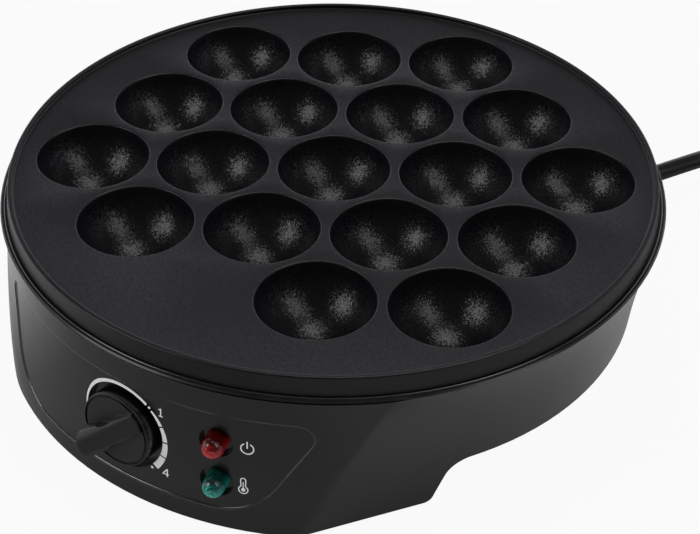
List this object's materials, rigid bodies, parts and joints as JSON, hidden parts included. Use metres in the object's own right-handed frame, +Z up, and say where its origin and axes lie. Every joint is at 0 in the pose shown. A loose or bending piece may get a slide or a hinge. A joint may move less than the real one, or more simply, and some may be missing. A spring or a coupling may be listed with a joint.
{
  "type": "takoyaki maker",
  "caption": "Round electric takoyaki cooker: cast plate of hemispherical cups in a black moulded bowl with a front control nose, thermostat knob and two indicator lamps.",
  "frame": {"origin": "on the round body's vertical axis, at the resting plane under the rubber feet, which is also the middle of the cooker's box without its lead", "axes": "+Z up, -Y towards the front where the control panel and knob are, +X to the right seen from the front"},
  "size_m": [0.3332, 0.366, 0.0656],
  "materials": {
    "body_plastic": "glossy black moulded plastic",
    "cast_coating": "fine-grained matte non-stick coating",
    "knob_plastic": "matte black",
    "steel": "zinc plated",
    "sheet_steel": "galvanised sheet",
    "heater_sheath": "oxidised tube",
    "foot_rubber": "matte",
    "inner_plastic": "heat-resistant moulding",
    "red_lens": "clear red",
    "green_lens": "clear green",
    "lamp_glass": "clear",
    "cord_rubber": "smooth black sheath",
    "pin_metal": "nickel plated"
  },
  "bodies": {
    "base": {"cooking_plate": "cast_coating", "trim_ring": "body_plastic", "housing": "body_plastic", "base_cover": "body_plastic", "base_screws": "steel", "plate_screws": "steel", "foot_front_left": "foot_rubber", "foot_front_right": "foot_rubber", "foot_rear_left": "foot_rubber", "foot_rear_right": "foot_rubber", "heat_shield": "sheet_steel", "heating_element": "heater_sheath", "heater_cradles": "sheet_steel", "thermal_fuse": "steel", "fuse_clip": "sheet_steel", "shield_rivets": "steel", "thermostat_body": "inner_plastic", "thermostat_bracket": "sheet_steel", "thermostat_screws": "steel", "red_lens": "red_lens", "green_lens": "green_lens", "red_lamp": "lamp_glass", "green_lamp": "lamp_glass", "red_nut": "inner_plastic", "green_nut": "inner_plastic", "terminal_block": "inner_plastic", "terminal_screws": "steel", "cord_gland": "cord_rubber", "cord_tail": "cord_rubber", "cord_clamp": "inner_plastic", "clamp_screws": "steel", "power_cord": "cord_rubber", "cord_coil": "cord_rubber", "plug_lead": "cord_rubber", "plug_body": "cord_rubber", "plug_pins": "pin_metal"},
    "knob_set": {"knob": "knob_plastic", "thermostat_spindle": "steel", "knob_clip": "steel"}
  },
  "joints": [
    {"name": "knob_turn", "type": "hinge", "parent": "base", "child": "knob_set", "pos_m": [0, -0.1189, 0.0297], "axis": [0, -0.9969, 0.0785], "range_deg": [-85.5, 151]}
  ]
}
